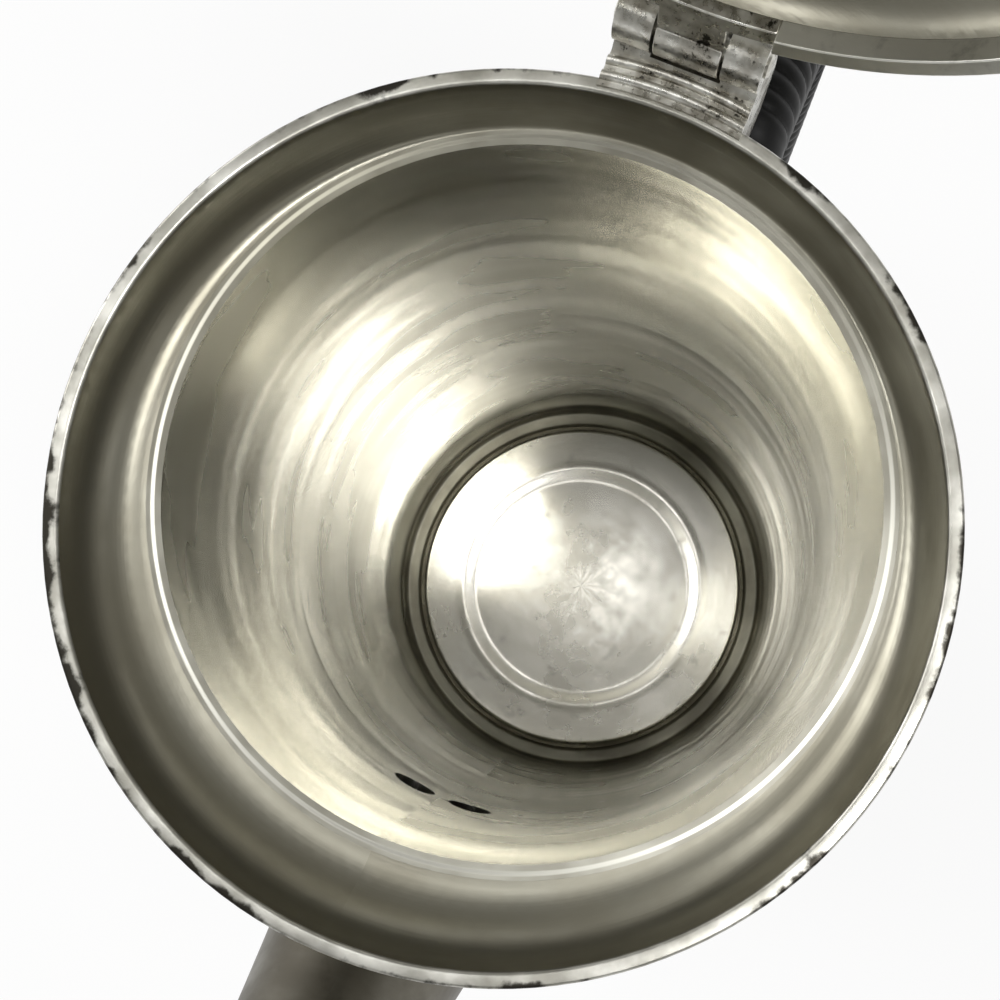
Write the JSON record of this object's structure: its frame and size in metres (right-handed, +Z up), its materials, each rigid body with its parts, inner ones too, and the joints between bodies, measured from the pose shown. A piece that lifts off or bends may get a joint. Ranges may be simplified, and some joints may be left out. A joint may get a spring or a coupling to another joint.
{
  "type": "coffee pot",
  "caption": "Round pewter coffee pot with a flared mouth collar, hinged domed lid, curved spout, black ribbed handle and black knob, its lid standing open.",
  "frame": {"origin": "centre of the foot's rest face, on the body's axis", "axes": "+Z up, +X to the handle and the hinge, -X to the spout"},
  "size_m": [0.187, 0.1008, 0.2653],
  "materials": {
    "pewter": "satin",
    "black_plastic": "satin",
    "steel": "satin"
  },
  "bodies": {
    "pot": {"body_shell": "pewter", "floor_plate": "pewter", "foot_ring": "pewter", "neck_collar": "pewter", "spout": "pewter", "hinge_block": "pewter", "hinge_pin": "steel", "upper_socket": "pewter", "lower_socket": "pewter", "handle_pins": "pewter", "handle_grip": "black_plastic"},
    "lid": {"hinge_leaf": "pewter", "lid_band": "pewter", "lid_shell": "pewter", "finial_collar": "pewter", "finial_knob": "black_plastic", "finial_washer": "steel", "finial_screw": "steel"}
  },
  "joints": [
    {"name": "lid_hinge", "type": "hinge", "parent": "pot", "child": "lid", "pos_m": [0.0493, 0, 0.165], "axis": [0, -1, 0], "range_deg": [0, 95]}
  ]
}
